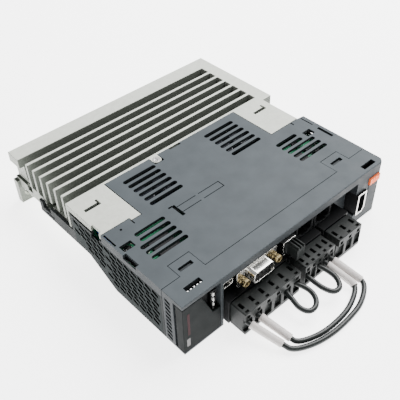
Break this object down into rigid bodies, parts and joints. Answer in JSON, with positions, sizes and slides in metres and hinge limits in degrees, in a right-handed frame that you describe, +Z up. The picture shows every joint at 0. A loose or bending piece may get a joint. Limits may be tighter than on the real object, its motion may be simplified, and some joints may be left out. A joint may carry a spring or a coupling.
{
  "type": "servo drive",
  "caption": "Book-size servo drive with finned die-cast chassis, vented plastic case, hinged display door and wired plug-in power connectors, lying on its side.",
  "frame": {"origin": "centre of the footprint of the drive without its wires, on the surface that it lies on", "axes": "+X runs down the drive from its top end to its bottom end, -Y is the way that the connectors and display face, +Y the mounting back, +Z up, across its width"},
  "size_m": [0.168, 0.2169, 0.04],
  "materials": {
    "casting": "die-cast, light satin coat",
    "case_plastic": "bluish grey, fine grain",
    "door_plastic": "dark grey, semi-gloss",
    "black_plastic": "charcoal connector plastic",
    "plug_plastic": "charcoal connector plastic",
    "orange_plastic": "orange",
    "white_plastic": "white",
    "key_plastic": "light grey",
    "display_lens": "smoked",
    "wire_jacket": "black, glossy",
    "sleeve_plastic": "off-white",
    "steel": "pin and screw steel",
    "nickel": "nickel-plated shells and springs",
    "gold": "yellow passivated",
    "tin_pins": "tinned",
    "board": "green solder mask",
    "board_parts": "moulded",
    "capacitor_sleeve": "shrink sleeve",
    "module_plastic": "moulded",
    "pad": "silicone sheet",
    "relay_plastic": "blue",
    "ferrite": "sintered ferrite and winding"
  },
  "bodies": {
    "drive": {"heatsink_casting": "casting", "cover_screw": "steel", "side_cover": "case_plastic", "case_base": "case_plastic", "top_end_grille": "case_plastic", "bottom_end_grille": "case_plastic", "front_bezel": "case_plastic", "door_hinge_pin": "steel", "operator_panel": "black_plastic", "display_module": "display_lens", "dip_switch_body": "black_plastic", "control_board": "board", "control_board_parts": "board_parts", "power_board": "board", "power_board_parts": "board_parts", "board_link": "black_plastic", "board_standoffs": "gold", "board_screws": "steel", "bus_capacitors": "capacitor_sleeve", "power_module": "module_plastic", "thermal_pad": "pad", "inrush_relay": "relay_plastic", "transformer": "ferrite", "usb_socket": "nickel", "dsub_shell": "nickel", "dsub_insulator": "black_plastic", "jack_posts": "gold", "safety_header": "nickel", "usb_insulator": "black_plastic", "network_jack_in": "black_plastic", "network_jack_out": "black_plastic", "encoder_shell": "nickel", "encoder_insulator": "black_plastic", "header_pins": "tin_pins", "power_header_1": "black_plastic", "power_header_2": "black_plastic", "power_header_3": "black_plastic"},
    "door": {"display_door": "door_plastic"},
    "release_tab": {"release_tab": "orange_plastic"},
    "safety_plug": {"safety_plug": "plug_plastic"},
    "wired_plugs": {"power_plug_1": "plug_plastic", "power_plug_2": "plug_plastic", "clamp_springs_wired": "nickel", "marker_sleeves_inner": "sleeve_plastic", "marker_sleeves_outer": "sleeve_plastic", "link_wire_inner": "wire_jacket", "link_wire_outer": "wire_jacket", "jumper_wire_1": "wire_jacket", "jumper_wire_2": "wire_jacket"},
    "motor_plug": {"power_plug_3": "plug_plastic", "clamp_springs_motor": "nickel"},
    "menu_key_1": {"menu_key_1": "key_plastic"},
    "dip_lever_1": {"dip_lever_1": "white_plastic"},
    "menu_key_2": {"menu_key_2": "key_plastic"},
    "dip_lever_2": {"dip_lever_2": "white_plastic"},
    "menu_key_3": {"menu_key_3": "key_plastic"},
    "dip_lever_3": {"dip_lever_3": "white_plastic"},
    "menu_key_4": {"menu_key_4": "key_plastic"},
    "dip_lever_4": {"dip_lever_4": "white_plastic"}
  },
  "joints": [
    {"name": "door_hinge", "type": "hinge", "parent": "drive", "child": "door", "pos_m": [-0.0818, -0.0742, 0.0174], "axis": [0, 0, -1], "range_deg": [0, 95]},
    {"name": "release_tab_press", "type": "slide", "parent": "drive", "child": "release_tab", "axis": [0, 1, 0], "range_m": [0, 0.0015], "stiffness_N_per_m": 900},
    {"name": "safety_plug_pull", "type": "slide", "parent": "drive", "child": "safety_plug", "axis": [0, -1, 0], "range_m": [0, 0.0095]},
    {"name": "wired_plugs_pull", "type": "slide", "parent": "drive", "child": "wired_plugs", "axis": [0, -1, 0], "range_m": [0, 0.0115]},
    {"name": "motor_plug_pull", "type": "slide", "parent": "drive", "child": "motor_plug", "axis": [0, -1, 0], "range_m": [0, 0.0115]},
    {"name": "menu_key_1_press", "type": "slide", "parent": "drive", "child": "menu_key_1", "axis": [0, 1, 0], "range_m": [0, 0.0006], "stiffness_N_per_m": 800},
    {"name": "menu_key_2_press", "type": "slide", "parent": "drive", "child": "menu_key_2", "axis": [0, 1, 0], "range_m": [0, 0.0006], "stiffness_N_per_m": 800},
    {"name": "menu_key_3_press", "type": "slide", "parent": "drive", "child": "menu_key_3", "axis": [0, 1, 0], "range_m": [0, 0.0006], "stiffness_N_per_m": 800},
    {"name": "menu_key_4_press", "type": "slide", "parent": "drive", "child": "menu_key_4", "axis": [0, 1, 0], "range_m": [0, 0.0006], "stiffness_N_per_m": 800},
    {"name": "dip_lever_1_slide", "type": "slide", "parent": "drive", "child": "dip_lever_1", "axis": [1, 0, 0], "range_m": [0, 0.0011]},
    {"name": "dip_lever_2_slide", "type": "slide", "parent": "drive", "child": "dip_lever_2", "axis": [1, 0, 0], "range_m": [0, 0.0011]},
    {"name": "dip_lever_3_slide", "type": "slide", "parent": "drive", "child": "dip_lever_3", "axis": [1, 0, 0], "range_m": [0, 0.0011]},
    {"name": "dip_lever_4_slide", "type": "slide", "parent": "drive", "child": "dip_lever_4", "axis": [1, 0, 0], "range_m": [0, 0.0011]}
  ]
}
